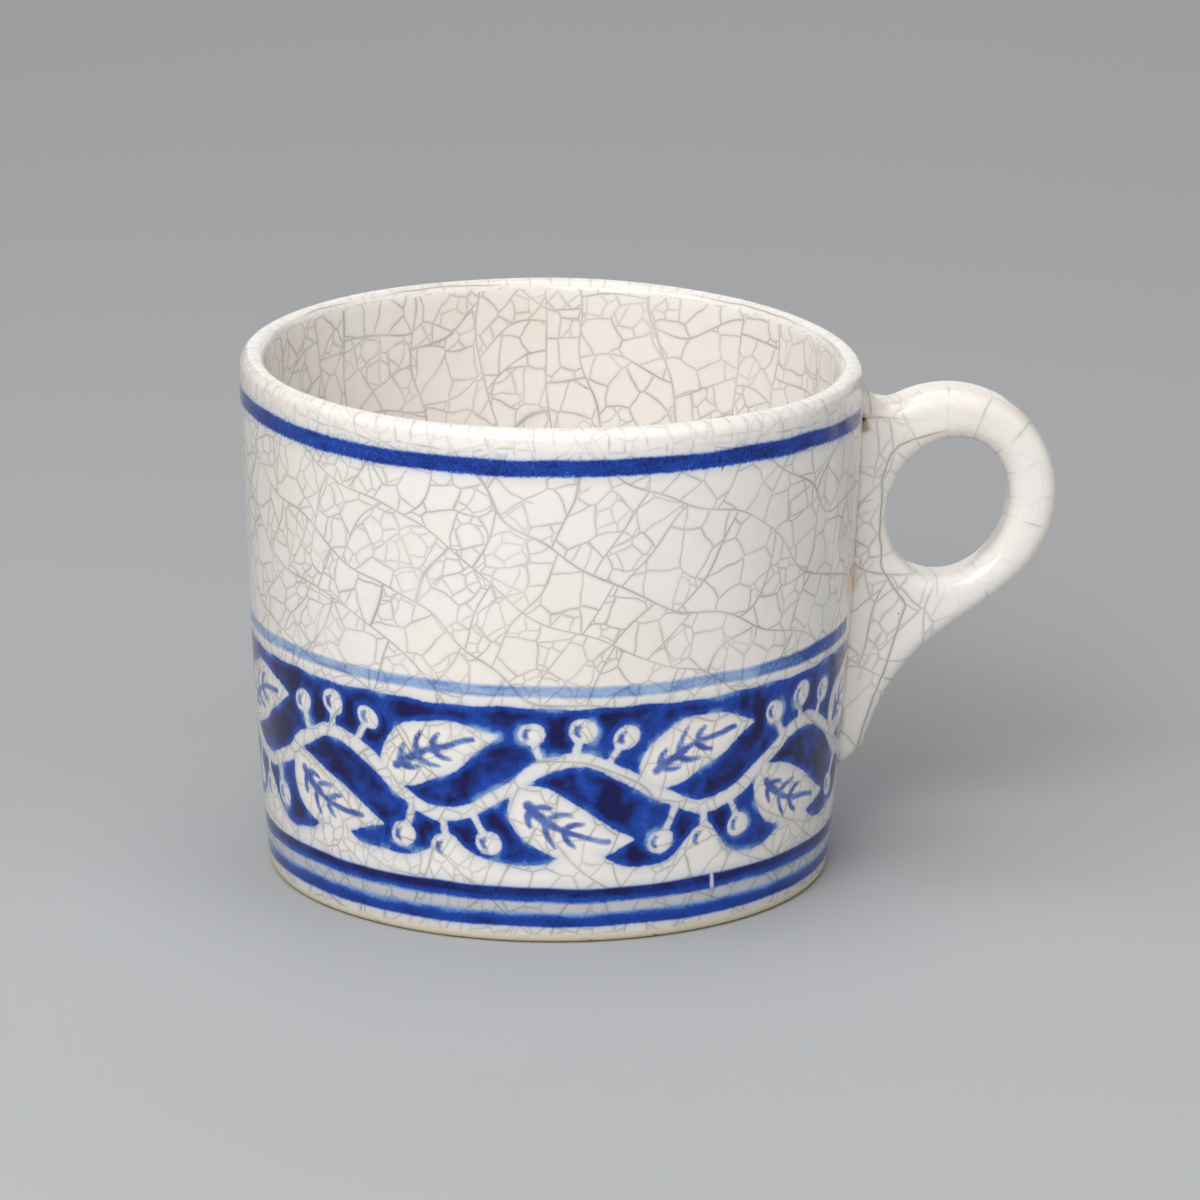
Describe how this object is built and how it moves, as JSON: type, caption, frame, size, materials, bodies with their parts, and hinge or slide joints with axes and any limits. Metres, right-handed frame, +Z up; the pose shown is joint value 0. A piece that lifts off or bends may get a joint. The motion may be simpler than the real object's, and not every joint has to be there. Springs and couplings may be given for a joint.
{
  "type": "mug",
  "caption": "Low wide stoneware mug with a loop handle and tail, crackled white glaze, blue painted lines and a blue leaf border.",
  "frame": {"origin": "centre of the flat foot, on the axis of the cup", "axes": "+Z up along the cup's axis, +X towards the handle"},
  "size_m": [0.1291, 0.098, 0.083],
  "materials": {
    "glazed_cup": "warm white crackle glaze over stoneware, painted in cobalt blue",
    "glazed_handle": "warm white crackle glaze",
    "slip_seam": "clay slip under the same glaze, slightly stained"
  },
  "bodies": {
    "root": {"cup_body": "glazed_cup", "handle": "glazed_handle", "luting_slip": "slip_seam"}
  },
  "joints": []
}
